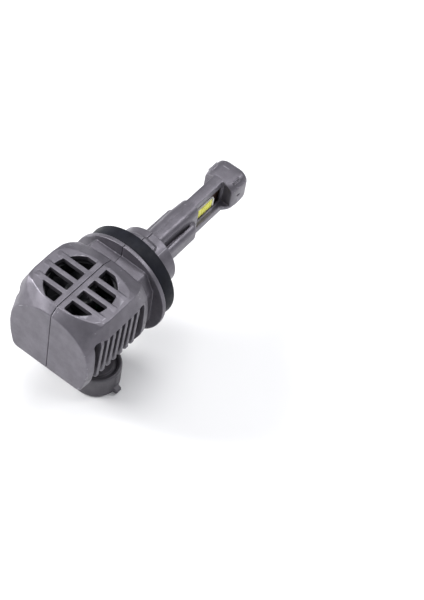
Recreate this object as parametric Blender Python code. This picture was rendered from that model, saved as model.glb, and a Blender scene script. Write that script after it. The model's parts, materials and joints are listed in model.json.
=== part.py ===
"""LED headlight bulb with a fan-cooled head and an oval plug.

Frame: +X along the bulb axis towards the tip, +Z out of the fan grille, +Y to
the right-hand shell.  The origin is on the bulb axis at the collar's flange.
All driving dimensions are in millimetres and are scaled by MM.
"""
import math

import bmesh
import bpy
from mathutils import Matrix, Vector

MM = 0.001

# ---- driving dimensions (mm) ------------------------------------------
SEAM = 0.15            # half of the gap between the two shells
INNER = -1.5           # shell solids run past the seam, then are cut there
GAP = 0.3              # gap between pieces that touch
HEAD_X0 = -31.3        # end face of the head
HEAD_X1 = -5.4         # head face towards the collar
HEAD_BOTTOM = -9.9
GRILLE_Z = 16.1        # outer face of the grille plateau
GRILLE_T = 1.5
FAN_X = -19.0          # fan and grille centre
GRILLE_R = 10.2
GRILLE_CLIP = 9.0
RIB_HALF = 1.74        # half width of the rib along the seam
BAR_W = 1.55
BAR_X = (-23.6, -19.0, -14.3)
BAY_X0 = -28.8         # fin bay
BAY_X1 = -8.2
BAY_TOP = 11.2
FIN_N = 7
FIN_X = -26.3
FIN_PITCH = 2.57
FIN_T = 1.1
DUCT_R = 10.6
DUCT_Z0 = 4.2
CORE_Y = 6.6
CORE_X0 = -21.6
NECK_X1 = -0.8
FLANGE_R = 16.3
FLANGE_X1 = 0.6
RING_X0 = 0.9
RING_X1 = 5.65
RING_R0 = 15.05
RING_R1 = 15.35
KEY_R = 9.55           # bayonet cylinder, 19.1 mm across
KEY_X1 = 13.6
TAB_X0 = 7.6
TAB_X1 = 9.3
STEM_X1 = 28.4         # thick part of the stalk
STEM_X2 = 31.2
TIP_X0 = 43.2
TIP_X1 = 46.0
TIP_END = 53.4
PIN_X = 51.8
BOARD_T = 0.7          # half thickness of the LED board
BOARD_X0 = -5.6
BOARD_X1 = 50.2
WIN_X0 = 31.7          # LED recess, open on the grille side
WIN_X1 = 45.5
WIN_Y = 1.7            # its floor, measured from the seam plane
WIN_Z = 2.4            # its lip on the side away from the grille
LED_X0 = 33.2
LED_X1 = 40.9
LED_HALF = 1.75
PLUG_X = -14.55        # plug centre
PLUG_S = 5.6           # half distance between the plug's arc centres
PLUG_R = 7.3
PLUG_TOP = -18.5
PLUG_MOUTH = -26.2
PLUG_FLOOR = -20.8     # inner end of the plug's socket
PLUG_WALL = 1.1
SCREW_X = -3.3
SCREW_Z = 9.1
SCREW_HEAD_R = 2.1
SCREW_R = 1.15
ROUND = 48

COLOURS = {
    "die_cast": ((0.27, 0.26, 0.29, 1), 0.42, 0.75),
    "plug_shell": ((0.25, 0.24, 0.27, 1), 0.5, 0.0),
    "rubber": ((0.018, 0.02, 0.026, 1), 0.62, 0.0),
    "copper_board": ((0.55, 0.30, 0.17, 1), 0.35, 1.0),
    "white_carrier": ((0.82, 0.82, 0.78, 1), 0.45, 0.0),
    "phosphor": ((0.80, 0.76, 0.16, 1), 0.4, 0.0),
    "black_plastic": ((0.02, 0.02, 0.022, 1), 0.45, 0.0),
    "steel": ((0.6, 0.6, 0.6, 1), 0.3, 1.0),
    "bronze": ((0.55, 0.42, 0.22, 1), 0.4, 1.0),
    "magnet": ((0.06, 0.055, 0.05, 1), 0.6, 0.2),
    "lamination": ((0.35, 0.35, 0.36, 1), 0.4, 1.0),
    "copper_wire": ((0.60, 0.26, 0.12, 1), 0.35, 1.0),
    "circuit_green": ((0.02, 0.16, 0.07, 1), 0.4, 0.0),
    "chip_black": ((0.015, 0.015, 0.017, 1), 0.5, 0.0),
    "can_aluminium": ((0.7, 0.7, 0.72, 1), 0.3, 1.0),
    "tin_plate": ((0.72, 0.70, 0.66, 1), 0.3, 1.0),
    "lead_red": ((0.5, 0.03, 0.03, 1), 0.5, 0.0),
}


# ---- scene and materials ----------------------------------------------
def clear_scene():
    for ob in list(bpy.data.objects):
        bpy.data.objects.remove(ob, do_unlink=True)


def material(slot):
    found = bpy.data.materials.get(slot)
    if found:
        return found
    colour, rough, metal = COLOURS[slot]
    mat = bpy.data.materials.new(slot)
    mat.use_nodes = True
    shader = mat.node_tree.nodes["Principled BSDF"]
    shader.inputs["Base Color"].default_value = colour
    shader.inputs["Roughness"].default_value = rough
    shader.inputs["Metallic"].default_value = metal
    mat.diffuse_color = colour
    return mat


def make(name, bm, slot=None, side=1):
    """Turn a bmesh in mm into an object in metres; side -1 mirrors it in Y."""
    bmesh.ops.scale(bm, vec=(MM, MM * side, MM), verts=bm.verts)
    if side < 0:
        bmesh.ops.reverse_faces(bm, faces=bm.faces)
    mesh = bpy.data.meshes.new(name)
    bm.to_mesh(mesh)
    bm.free()
    ob = bpy.data.objects.new(name, mesh)
    bpy.context.scene.collection.objects.link(ob)
    if slot:
        mesh.materials.append(material(slot))
        mesh.shade_smooth()
        mesh.set_sharp_from_angle(angle=math.radians(32))
    return ob


def cut(ob, tool, how="DIFFERENCE"):
    mod = ob.modifiers.new(tool.name, "BOOLEAN")
    mod.operation = how
    mod.solver = "EXACT"
    mod.object = tool
    tool.hide_render = True
    tool.display_type = "WIRE"
    return ob


# ---- basic solids, all in mm -------------------------------------------
def loft(sections, cap=True):
    """Closed solid through rings of points (same count, same turn)."""
    bm = bmesh.new()
    rings = [[bm.verts.new(p) for p in ring] for ring in sections]
    count = len(rings[0])
    for a, b in zip(rings, rings[1:]):
        for i in range(count):
            j = (i + 1) % count
            bm.faces.new((a[i], a[j], b[j], b[i]))
    if cap:
        bm.faces.new(list(reversed(rings[0])))
        bm.faces.new(rings[-1])
    bmesh.ops.recalc_face_normals(bm, faces=bm.faces)
    bmesh.ops.triangulate(bm, faces=bm.faces)
    return bm


def prism(points, axis, low, high):
    """Extrude a 2-D outline along X, Y or Z."""
    def place(p, t):
        if axis == "X":
            return (t, p[0], p[1])
        if axis == "Y":
            return (p[0], t, p[1])
        return (p[0], p[1], t)
    return loft([[place(p, low) for p in points], [place(p, high) for p in points]])


def box(x0, x1, y0, y1, z0, z1):
    return prism([(y0, z0), (y1, z0), (y1, z1), (y0, z1)], "X", x0, x1)


def arc(cx, cy, r, a0, a1, steps):
    out = []
    for i in range(steps + 1):
        a = math.radians(a0 + (a1 - a0) * i / steps)
        out.append((cx + r * math.cos(a), cy + r * math.sin(a)))
    return out


def circle(cx, cy, r, steps):
    return arc(cx, cy, r, 0, 360, steps)[:-1]


def rounded(w, h, r, steps=3):
    """Rectangle outline of half sizes w and h with corner radius r."""
    out = arc(w - r, h - r, r, 0, 90, steps)
    out += arc(r - w, h - r, r, 90, 180, steps)
    out += arc(r - w, r - h, r, 180, 270, steps)
    out += arc(w - r, r - h, r, 270, 360, steps)
    return out


def obround(cx, half, r, steps=12):
    """Outline in (x, y), long in y."""
    out = arc(cx, half, r, 0, 180, steps)
    out += arc(cx, -half, r, 180, 360, steps)
    return out


def turned(profile, steps=ROUND):
    """Spin (x, r) points about the X axis; r = 0 closes on the axis."""
    bm = bmesh.new()
    poles = [bm.verts.new((x, 0, 0)) if r == 0 else None for x, r in profile]
    rings = []
    for i in range(steps):
        a = 2 * math.pi * i / steps
        ring = []
        for (x, r), pole in zip(profile, poles):
            ring.append(pole or bm.verts.new((x, r * math.cos(a), r * math.sin(a))))
        rings.append(ring)
    n = len(profile)
    for i in range(steps):
        a = rings[i]
        b = rings[(i + 1) % steps]
        for j in range(n):
            k = (j + 1) % n
            corners = []
            for v in (a[j], a[k], b[k], b[j]):
                if v not in corners:
                    corners.append(v)
            if len(corners) > 2:
                bm.faces.new(corners)
    bmesh.ops.recalc_face_normals(bm, faces=bm.faces)
    return bm


def stand_up(bm, x, y):
    """Turn a solid spun about X so that it stands on Z at (x, y)."""
    turn = Matrix.Rotation(math.radians(-90), 4, "Y")
    bmesh.ops.transform(bm, matrix=Matrix.Translation((x, y, 0)) @ turn, verts=bm.verts)
    return bm


def lay_across(bm, x, z):
    """Turn a solid spun about X so that it lies along Y through (x, z)."""
    turn = Matrix.Rotation(math.radians(90), 4, "Z")
    bmesh.ops.transform(bm, matrix=Matrix.Translation((x, 0, z)) @ turn, verts=bm.verts)
    return bm


def join(parts):
    """Several separate solids in one mesh, for use as one cutter."""
    whole = bmesh.new()
    for bm in parts:
        mesh = bpy.data.meshes.new("scratch")
        bm.to_mesh(mesh)
        bm.free()
        whole.from_mesh(mesh)
        bpy.data.meshes.remove(mesh)
    return whole


# ---- head ---------------------------------------------------------------
HEAD_ANGLES = (90, 82, 74, 66, 58, 50.1, 43, 36.4, 27, 18, 9, 0)


def ray_square(deg):
    """Distance from the axis to the square cowl outline at an angle."""
    a = math.radians(deg)
    top = 15.8 / max(math.sin(a), 1e-6)
    side = 15.2 / max(math.cos(a), 1e-6)
    # slanted wall from (13.2, 15.8) to (15.2, 11.2)
    slant = (15.2 * 4.6 + 11.2 * 2.0) / (4.6 * math.cos(a) + 2.0 * math.sin(a))
    return min(top, side, slant)


def head_section(x, blend, inset, grow):
    pts = []
    for deg in HEAD_ANGLES:
        a = math.radians(deg)
        r = (1 - blend) * (14.2 + grow) + blend * ray_square(deg) - inset
        pts.append((x, r * math.cos(a), r * math.sin(a)))
    pts.insert(0, (x, INNER, pts[0][2]))
    side_y = pts[-1][1]
    pts.append((x, side_y - 0.45, -4.0))
    pts.append((x, 13.1 - inset, -7.8))
    pts.append((x, 12.3 - inset, -9.2 + inset))
    pts.append((x, 11.0 - inset, HEAD_BOTTOM + inset))
    pts.append((x, INNER, HEAD_BOTTOM + inset))
    return pts


def head_solid():
    rows = (
        (HEAD_X0, 0.0, 0.75, 0.0), (-31.05, 0.0, 0.3, 0.0), (-30.5, 0.04, 0.0, 0.0),
        (-29.4, 0.30, 0.0, 0.1), (-28.0, 0.62, 0.0, 0.2), (-26.4, 0.88, 0.0, 0.3),
        (-24.6, 1.0, 0.0, 0.3), (-12.6, 1.0, 0.0, 0.3), (-10.6, 0.9, 0.0, 0.3),
        (-8.6, 0.72, 0.0, 0.3), (-6.6, 0.52, 0.0, 0.2), (-5.8, 0.45, 0.1, 0.2),
        (HEAD_X1, 0.42, 0.5, 0.2),
    )
    return loft([head_section(*row) for row in rows])


def plateau_outline():
    """Outline of the raised grille plateau in (x, y), y from the seam out."""
    pts = [(-29.1, INNER), (-29.1, 0.0)]
    for y in (3.0, 6.0, 9.0, 11.4):
        pts.append((-4.1 - math.sqrt(625 - y * y), y))
    pts += [(-25.3, 12.7), (-24.0, 13.3), (-22.4, 13.45), (-15.4, 13.45), (-13.8, 13.3), (-12.4, 12.7)]
    for y in (11.4, 9.0, 6.0, 3.0):
        pts.append((-33.4 + math.sqrt(625 - y * y), y))
    pts += [(-8.4, 0.0), (-8.4, INNER)]
    return pts


def plateau_solid():
    outline = plateau_outline()
    mid = Vector((FAN_X, 0))

    def shrunk(p, d):
        v = Vector(p) - mid
        v *= 1 - d / v.length
        q = mid + v
        return (q.x, p[1] if p[1] <= 0 else q.y)
    low = [(x, y, 12.6) for x, y in outline]
    edge = [(x, y, GRILLE_Z - 0.35) for x, y in outline]
    top = [(*shrunk(p, 0.35), GRILLE_Z) for p in outline]
    return loft([low, edge, top])


def slot_outline(x0, x1):
    """One grille slot in (x, y) between two bars, closed by the circle."""
    pts = [(x1, RIB_HALF), (x0, RIB_HALF)]
    steps = 7
    for i in range(steps + 1):
        x = x0 + (x1 - x0) * i / steps
        dx = min(abs(x - FAN_X), GRILLE_CLIP)
        y = math.sqrt(GRILLE_R ** 2 - dx * dx)
        pts.append((x, y))
    return pts


def grille_slots():
    edges = [FAN_X - GRILLE_CLIP]
    for x in BAR_X:
        edges += [x - BAR_W / 2, x + BAR_W / 2]
    edges.append(FAN_X + GRILLE_CLIP)
    slots = []
    for i in range(4):
        outline = slot_outline(edges[2 * i], edges[2 * i + 1])
        slots.append(prism(outline, "Z", GRILLE_Z - GRILLE_T - 0.9, GRILLE_Z + 1))
    return join(slots)


def raised_bars():
    """Ribs that carry the grille bars on over the plateau."""
    bars = []
    for x in BAR_X:
        h = BAR_W / 2
        bars.append(box(x - h, x + h, RIB_HALF - 0.2, 12.4, GRILLE_Z - 0.6, GRILLE_Z + 0.12))
    return join(bars)


def fin_bay():
    r = 2.4
    outline = arc(BAY_X1 - r, BAY_TOP - r, r, 0, 90, 4)
    outline += arc(BAY_X0 + r, BAY_TOP - r, r, 90, 180, 4)
    outline += [(BAY_X0, HEAD_BOTTOM - 2), (BAY_X1, HEAD_BOTTOM - 2)]
    return prism(outline, "Y", -1.0, 20.0)


def fin_outline():
    """Fin plate in (y, z): hangs from the cowl and ends in a round finger."""
    pts = [(INNER, DUCT_Z0 + 0.5), (DUCT_R - 0.3, DUCT_Z0 + 0.5), (DUCT_R - 0.3, BAY_TOP + 0.6)]
    pts += [(14.4, BAY_TOP + 0.6), (14.75, 9.5), (14.5, 3.0), (14.15, -4.0)]
    pts += arc(12.9, -4.8, 1.3, 10, -80, 4)[1:]
    pts += [(11.0, -6.6), (10.6, -8.0), (8.2, -8.0), (7.4, -6.4), (INNER, -6.4)]
    return pts


def fins():
    plates = []
    for i in range(FIN_N):
        x = FIN_X + i * FIN_PITCH
        plates.append(prism(fin_outline(), "X", x - FIN_T / 2, x + FIN_T / 2))
    return join(plates)


# ---- collar, neck and stalk ----------------------------------------------
def half_disc(x0, x1, r, steps=ROUND // 2):
    pts = [(r * math.sin(math.pi * i / steps), r * math.cos(math.pi * i / steps)) for i in range(steps + 1)]
    pts = [(INNER, r)] + pts + [(INNER, -r)]
    return prism(pts, "X", x0, x1)


def neck_outline():
    return [(INNER, 12.3), (8.9, 12.0), (12.0, 6.4), (12.0, -6.5), (8.3, -12.0), (INNER, -12.0)]


def tab_solid(deg, half_w, r):
    """Bayonet tab: a flat key standing out of the cylinder."""
    a = math.radians(deg)
    out = Vector((math.sin(a), math.cos(a)))
    along = Vector((math.cos(a), -math.sin(a)))
    lo = KEY_R - 1.5
    pts = []
    corners = ((lo, -half_w), (r - 0.5, -half_w), (r, -half_w + 0.5),
               (r, half_w - 0.5), (r - 0.5, half_w), (lo, half_w))
    for d, w in corners:
        p = out * d + along * w
        pts.append((p.x, p.y))
    return prism(pts, "X", TAB_X0, TAB_X1)


def half_ring(w, h, r, x, steps=4):
    """Right half of a rounded rectangle at x, closed on the seam plane."""
    pts = [(INNER, h)]
    pts += [(w - r + r * math.sin(math.radians(a)), h - r + r * math.cos(math.radians(a)))
            for a in [90 * i / steps for i in range(steps + 1)]]
    pts += [(w - r + r * math.cos(math.radians(a)), r - h - r * math.sin(math.radians(a)))
            for a in [90 * i / steps for i in range(steps + 1)]]
    pts.append((INNER, -h))
    return [(x, y, z) for y, z in pts]


def stem_ridge():
    """Deep spine of the stalk, from the cylinder to the tip."""
    rows = (
        (KEY_X1 - 1.0, 3.1, 7.5, 2.6),
        (26.0, 3.3, 7.3, 2.6),
        (32.0, 3.1, 6.95, 2.6),
        (TIP_X0 + 2.0, 3.1, 6.85, 2.6),
    )
    return loft([half_ring(w, h, r, x) for x, w, h, r in rows])


def stem_boss():
    """Wide side boss on the thick part of the stalk."""
    rows = ((KEY_X1 - 1.0, 5.4, 3.5, 2.0), (STEM_X1, 5.3, 3.3, 2.0), (STEM_X2, 2.5, 2.9, 1.5))
    return loft([half_ring(w, h, r, x) for x, w, h, r in rows])


def tip_solid():
    rows = (
        (TIP_X0, 3.1, 5.2, 2.5),
        (TIP_X0 + 1.2, 4.3, 5.5, 2.8),
        (TIP_X1, 5.2, 5.8, 3.1),
        (TIP_X1 + 2.5, 5.5, 5.9, 3.1),
        (TIP_END - 1.0, 5.4, 5.8, 3.1),
        (TIP_END - 0.3, 5.0, 5.4, 3.0),
        (TIP_END, 4.4, 4.8, 2.8),
    )
    return loft([half_ring(w, h, r, x) for x, w, h, r in rows])


def window_solid():
    """Side recess that bares the LED strip, open towards the grille side."""
    outline = [(WIN_Y, -WIN_Z), (7.5, -WIN_Z - 0.3), (7.5, 9.0), (WIN_Y, 9.0)]
    return prism(outline, "X", WIN_X0, WIN_X1)


def window_pit():
    """Opening in the floor of the recess, down to the LED board."""
    return box(WIN_X0 + 0.4, WIN_X1 - 0.8, 0.0, WIN_Y + 0.1, -WIN_Z + 0.2, 4.2)


def board_pocket():
    """Room for the LED board between the shells."""
    t = BOARD_T + GAP
    parts = [
        (BOARD_X0 - GAP, 31.4, 3.6), (31.4, BOARD_X1 + GAP, 4.4),
    ]
    outline = []
    for x0, x1, h in parts:
        outline += [(x0, -h - GAP), (x1, -h - GAP)]
    for x0, x1, h in reversed(parts):
        outline += [(x1, h + GAP), (x0, h + GAP)]
    return prism(outline, "Y", -1.0, t)


def driver_pocket():
    """Chamber inside the core for the driver board, open to the fan and plug."""
    return box(-20.4, -5.5, -1.0, 5.2, -12.0, DUCT_Z0 + 3)


def shell(side):
    name = "housing_right" if side > 0 else "housing_left"
    ob = make(name, head_solid(), "die_cast", side)

    def tool(label, bm):
        return make("tool_" + label + "_" + name, bm, None, side)
    cut(ob, tool("bay", fin_bay()))
    cut(ob, tool("plateau", plateau_solid()), "UNION")
    core = box(CORE_X0, HEAD_X1 - 1.0, INNER, CORE_Y, HEAD_BOTTOM + 0.05, DUCT_Z0 + 0.5)
    cut(ob, tool("core", core), "UNION")
    rail = box(BAY_X0 - 0.5, BAY_X1 + 0.5, 8.4, 10.7, HEAD_BOTTOM + 0.4, -7.4)
    cut(ob, tool("rail", rail), "UNION")
    cut(ob, tool("fins", fins()), "UNION")
    duct = stand_up(rod(DUCT_Z0, GRILLE_Z - GRILLE_T, DUCT_R, 40), FAN_X, 0)
    cut(ob, tool("duct", duct))
    cut(ob, tool("ribs", raised_bars()), "UNION")
    cut(ob, tool("rib", box(-28.5, -9.0, INNER, RIB_HALF, GRILLE_Z - 0.7, GRILLE_Z + 0.12)), "UNION")
    cut(ob, tool("slots", grille_slots()))
    stalk = tool("stalk", half_disc(FLANGE_X1 - 0.5, KEY_X1, KEY_R))
    cut(stalk, tool("tab_front", tab_solid(0, 4.25, 11.1)), "UNION")
    cut(stalk, tool("tab_side", tab_solid(110, 1.9, 12.6)), "UNION")
    cut(stalk, tool("flange", half_disc(NECK_X1, FLANGE_X1, FLANGE_R)), "UNION")
    spine = tool("spine", stem_ridge())
    cut(spine, tool("boss", stem_boss()), "UNION")
    cut(spine, tool("tip", tip_solid()), "UNION")
    cut(stalk, spine, "UNION")
    cut(stalk, tool("neck", prism(neck_outline(), "X", HEAD_X1 - 1.0, NECK_X1 + 0.5)), "UNION")
    cut(ob, stalk, "UNION")
    cut(ob, tool("window", window_solid()))
    cut(ob, tool("pit", window_pit()))
    cut(ob, tool("board", board_pocket()))
    cut(ob, tool("driver", driver_pocket()))
    holes = []
    for z in (SCREW_Z, -SCREW_Z):
        if side > 0:
            holes.append(lay_across(rod(-1.0, 9.2, SCREW_R + 0.25, 20), SCREW_X, z))
            holes.append(lay_across(rod(7.2, 16.0, SCREW_HEAD_R, 24), SCREW_X, z))
        else:
            holes.append(lay_across(rod(-1.0, 7.0, SCREW_R + 0.05, 20), SCREW_X, z))
    holes.append(lay_across(rod(-1.0, 3.4, 0.55, 12), PIN_X, 0))
    for bm, n in zip(holes, range(len(holes))):
        cut(ob, tool("hole%d" % n, bm))
    cut(ob, tool("seam", box(-40, 60, -20, SEAM, -20, 20)))
    return ob


def rod(x0, x1, r, steps=24):
    """Plain solid cylinder along X."""
    return prism(circle(0, 0, r, steps), "X", x0, x1)


# ---- collar and LED pieces ------------------------------------------------
def seal_ring():
    profile = [
        (RING_X0, KEY_R + GAP), (RING_X0, RING_R0), (RING_X1 - 0.35, RING_R1),
        (RING_X1, RING_R1 - 0.35), (RING_X1, KEY_R + GAP),
    ]
    return make("seal_ring", turned(profile), "rubber")


def led_pieces():
    pts = [(BOARD_X0, -3.3), (31.0, -3.3), (31.8, -4.1), (BOARD_X1, -4.1)]
    pts += [(x, -z) for x, z in reversed(pts)]
    make("led_board", prism(pts, "Y", -BOARD_T, BOARD_T), "copper_board")
    y = BOARD_T + 0.06
    for side, label in ((1, "right"), (-1, "left")):
        carrier = box(LED_X0 - 0.7, LED_X1 + 1.1, y, y + 0.4, -LED_HALF - 0.2, LED_HALF + 0.2)
        make("led_carrier_" + label, carrier, "white_carrier", side)
        low = y + 0.46
        stations = (
            (LED_X0, LED_HALF - 0.1, 0.3), (LED_X0 + 0.2, LED_HALF, 0.45),
            (LED_X1 - 0.2, LED_HALF, 0.45), (LED_X1, LED_HALF - 0.1, 0.3),
        )
        rows = [[(x, low, -w), (x, low + h, -w + 0.15), (x, low + h, w - 0.15), (x, low, w)]
                for x, w, h in stations]
        make("led_strip_" + label, loft(rows), "phosphor", side)


def neck_screws():
    r = SCREW_R - 0.05
    profile = [
        (-6.6, 0), (-6.6, r - 0.3), (-6.2, r), (7.4, r),
        (7.4, 1.75), (8.5, 1.75), (8.9, 1.4), (8.9, 0),
    ]
    for z, label in ((SCREW_Z, "upper"), (-SCREW_Z, "lower")):
        screw = make("neck_screw_" + label, lay_across(turned(profile, 20), SCREW_X, z), "steel")
        hexagon = lay_across(rod(7.9, 9.5, 0.85, 6), SCREW_X, z)
        cut(screw, make("tool_hex_" + label, hexagon))
    make("tip_pin", lay_across(rod(-3.2, 3.2, 0.5, 12), PIN_X, 0), "steel")


# ---- fan --------------------------------------------------------------------
def on_fan_axis(name, bm, slot):
    """A piece modelled about Z = 0 in plan, with its origin on the fan axis."""
    ob = make(name, bm, slot)
    ob.location = (FAN_X * MM, 0, 0)
    return ob


def spun(profile, steps=32):
    return stand_up(turned(profile, steps), 0, 0)


def blade(index, count):
    """One fan blade: a thin pitched sheet between the hub and its tip."""
    base = 2 * math.pi * index / count
    rows = []
    for r, spread in ((4.6, 0.40), (6.9, 0.33), (9.1, 0.29)):
        upper = []
        lower = []
        for j in range(5):
            t = j / 4
            ang = base + spread * (2 * t - 1)
            z = 12.5 - 5.6 * t - 0.5 * math.sin(math.pi * t)
            upper.append((r * math.cos(ang), r * math.sin(ang), z + 0.28))
            lower.append((r * math.cos(ang), r * math.sin(ang), z - 0.28))
        rows.append(upper + lower[::-1])
    return loft(rows)


def fan_rotor():
    hub = [
        (13.3, 0), (13.3, 4.2), (12.9, 4.75), (6.7, 4.9), (6.7, 4.35), (12.3, 4.35),
        (12.3, 1.3), (10.4, 1.3), (10.4, 0.65), (12.5, 0.65), (12.5, 0),
    ]
    rotor = on_fan_axis("fan_rotor", spun(hub), "black_plastic")
    count = 7
    vanes = make("tool_blades", join([blade(i, count) for i in range(count)]))
    vanes.location = rotor.location
    cut(rotor, vanes, "UNION")
    on_fan_axis("fan_magnet", spun([(7.0, 3.55), (7.0, 4.25), (11.8, 4.25), (11.8, 3.55)], 32), "magnet")
    on_fan_axis("fan_shaft", spun([(3.5, 0), (3.5, 0.4), (3.7, 0.6), (12.3, 0.6), (12.3, 0)], 16), "steel")
    on_fan_axis("fan_washer", spun([(3.75, 0.64), (3.75, 1.25), (4.1, 1.25), (4.1, 0.64)], 20), "steel")


def fan_fixed():
    cup = [
        (4.5, 1.05), (4.5, 10.25), (13.9, 10.25), (13.9, 9.65),
        (5.2, 9.65), (5.2, 1.5), (9.6, 1.5), (9.6, 1.05),
    ]
    frame = on_fan_axis("fan_frame", spun(cup, 40), "black_plastic")
    for k in range(3):
        mid = 120 * k
        outline = arc(0, 0, 8.9, mid - 48, mid + 48, 8) + arc(0, 0, 3.9, mid + 42, mid - 42, 5)
        tool = make("tool_vent%d" % k, prism(outline, "Z", 4.0, 6.0))
        tool.location = frame.location
        cut(frame, tool)
    on_fan_axis("fan_bearing", spun([(4.6, 0.64), (4.6, 1.0), (9.5, 1.0), (9.5, 0.64)], 16), "bronze")
    on_fan_axis("fan_board", spun([(5.3, 1.6), (5.3, 3.4), (6.0, 3.4), (6.0, 1.6)], 24), "circuit_green")
    yoke = [(7.6, 1.56), (7.6, 1.95), (9.2, 1.95), (9.2, 1.56)]
    stator = on_fan_axis("fan_stator", spun(yoke, 24), "lamination")
    for k in range(4):
        turn = Matrix.Rotation(math.radians(90 * k), 4, "Z")
        tooth = box(1.7, 3.1, -0.35, 0.35, 7.6, 9.2)
        bmesh.ops.transform(tooth, matrix=turn, verts=tooth.verts)
        tool = make("tool_tooth%d" % k, tooth)
        tool.location = stator.location
        cut(stator, tool, "UNION")
        shoe = prism(arc(0, 0, 3.35, -24, 24, 4) + arc(0, 0, 2.95, 24, -24, 4), "Z", 7.55, 9.25)
        bmesh.ops.transform(shoe, matrix=turn, verts=shoe.verts)
        tool = make("tool_shoe%d" % k, shoe)
        tool.location = stator.location
        cut(stator, tool, "UNION")
        coil = prism(rounded(0.95, 1.4, 0.35, 2), "X", 2.1, 2.75)
        bmesh.ops.translate(coil, vec=(0, 0, 8.4), verts=coil.verts)
        bmesh.ops.transform(coil, matrix=turn, verts=coil.verts)
        winding = on_fan_axis("fan_coil_%d" % (k + 1), coil, "copper_wire")
        core = box(1.0, 3.2, -0.42, 0.42, 7.5, 9.3)
        bmesh.ops.transform(core, matrix=turn, verts=core.verts)
        tool = make("tool_core%d" % k, core)
        tool.location = winding.location
        cut(winding, tool)


def fan_leads():
    for y, label, slot in ((0.9, "red", "lead_red"), (-0.9, "black", "black_plastic")):
        data = bpy.data.curves.new("fan_lead_" + label, "CURVE")
        data.dimensions = "3D"
        data.bevel_depth = 0.3 * MM
        data.bevel_resolution = 2
        data.use_fill_caps = True
        pts = [
            (-15.3, y, 5.7), (-14.9, y, 5.66), (-14.6, y, 5.4),
            (-14.45, y, 4.9), (-14.35, y, 4.2), (-14.3, y, 3.0),
        ]
        spline = data.splines.new("POLY")
        spline.points.add(len(pts) - 1)
        for point, p in zip(spline.points, pts):
            point.co = (p[0] * MM, p[1] * MM, p[2] * MM, 1)
        data.materials.append(material(slot))
        ob = bpy.data.objects.new("fan_lead_" + label, data)
        bpy.context.scene.collection.objects.link(ob)


# ---- driver and plug ----------------------------------------------------------
def driver():
    make("driver_board", box(-20.0, -6.4, -0.5, 0.5, -7.6, 2.6), "circuit_green")
    drum = [
        (0.7, 0), (0.7, 2.3), (1.3, 2.3), (1.5, 2.0),
        (3.6, 2.0), (3.8, 2.3), (4.4, 2.3), (4.4, 0),
    ]
    make("driver_inductor", lay_across(turned(drum, 20), -12.0, -2.0), "magnet")
    can = [
        (-4.7, 0), (-4.7, 1.9), (-4.5, 2.1), (-1.5, 2.1),
        (-1.3, 1.9), (-1.1, 2.1), (-0.7, 2.1), (-0.7, 0),
    ]
    make("driver_capacitor", lay_across(turned(can, 20), -15.4, -2.4), "can_aluminium")
    make("driver_chip", box(-9.6, -6.9, 0.6, 1.7, -0.8, 2.0), "chip_black")
    make("driver_diode", box(-11.6, -7.8, -1.8, -0.6, -6.4, -4.2), "chip_black")


def plug_ring(z, r, half):
    return [(x, y, z) for x, y in obround(PLUG_X, half, r, 10)]


def plug():
    rows = (
        (PLUG_FLOOR, PLUG_R - PLUG_WALL, PLUG_S),
        (PLUG_MOUTH, PLUG_R - PLUG_WALL, PLUG_S),
        (PLUG_MOUTH, PLUG_R, PLUG_S),
        (PLUG_TOP - 0.3, PLUG_R, PLUG_S),
        (PLUG_TOP, PLUG_R - 0.3, PLUG_S),
        (PLUG_TOP, PLUG_R - 1.0, PLUG_S),
        (PLUG_TOP - 1.0, PLUG_R - 1.2, PLUG_S),
        (PLUG_TOP - 1.0, 4.9, PLUG_S),
        (PLUG_TOP - 0.5, 4.8, PLUG_S),
        (PLUG_TOP - 0.5, 4.0, 4.2),
        (-15.0, 3.8, 3.6),
        (-11.1, 3.8, 3.6),
        (-11.1, 2.3, 2.6),
        (-8.6, 2.3, 2.6),
    )
    shroud = make("connector_shroud", loft([plug_ring(*row) for row in rows]), "plug_shell")
    latch = [(12.3, -25.9), (14.2, -25.9), (14.45, -25.5), (14.2, -24.6), (12.3, -23.4)]
    for side, label in ((1, "right"), (-1, "left")):
        wedge = prism(latch, "X", PLUG_X - 1.05, PLUG_X + 1.05)
        cut(shroud, make("tool_wedge_" + label, wedge, None, side), "UNION")
        slot = box(PLUG_X - 0.55, PLUG_X + 0.55, 1.05, 3.75, -24.0, -7.0)
        cut(shroud, make("tool_slot_" + label, slot, None, side))
        stations = ((-25.0, 0.2, 0.9), (-24.4, 0.4, 1.2), (-5.6, 0.4, 1.2))
        rows = [[(PLUG_X - t, 2.4 - w, z), (PLUG_X + t, 2.4 - w, z),
                 (PLUG_X + t, 2.4 + w, z), (PLUG_X - t, 2.4 + w, z)] for z, t, w in stations]
        make("terminal_" + label, loft(rows), "tin_plate", side)
    seal = make("connector_gasket", prism(obround(PLUG_X, 3.5, 4.2, 8), "Z", -10.8, -10.15), "rubber")
    cut(seal, make("tool_gasket", prism(obround(PLUG_X, 2.6, 2.45, 8), "Z", -12.0, -9.0)))


clear_scene()
shell(1)
shell(-1)
seal_ring()
led_pieces()
neck_screws()
fan_rotor()
fan_fixed()
fan_leads()
driver()
plug()
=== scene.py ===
"""Looks of a fan-cooled LED headlight bulb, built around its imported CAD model.

Shapes are made in millimetres in the model's frame and scaled at the end:
+X towards the tip, +Y to the right-hand shell, +Z out of the fan grille,
origin on the bulb axis at the collar's flange.
"""
import json
import math

import bmesh
import bpy
from mathutils import Matrix, Vector


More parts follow.
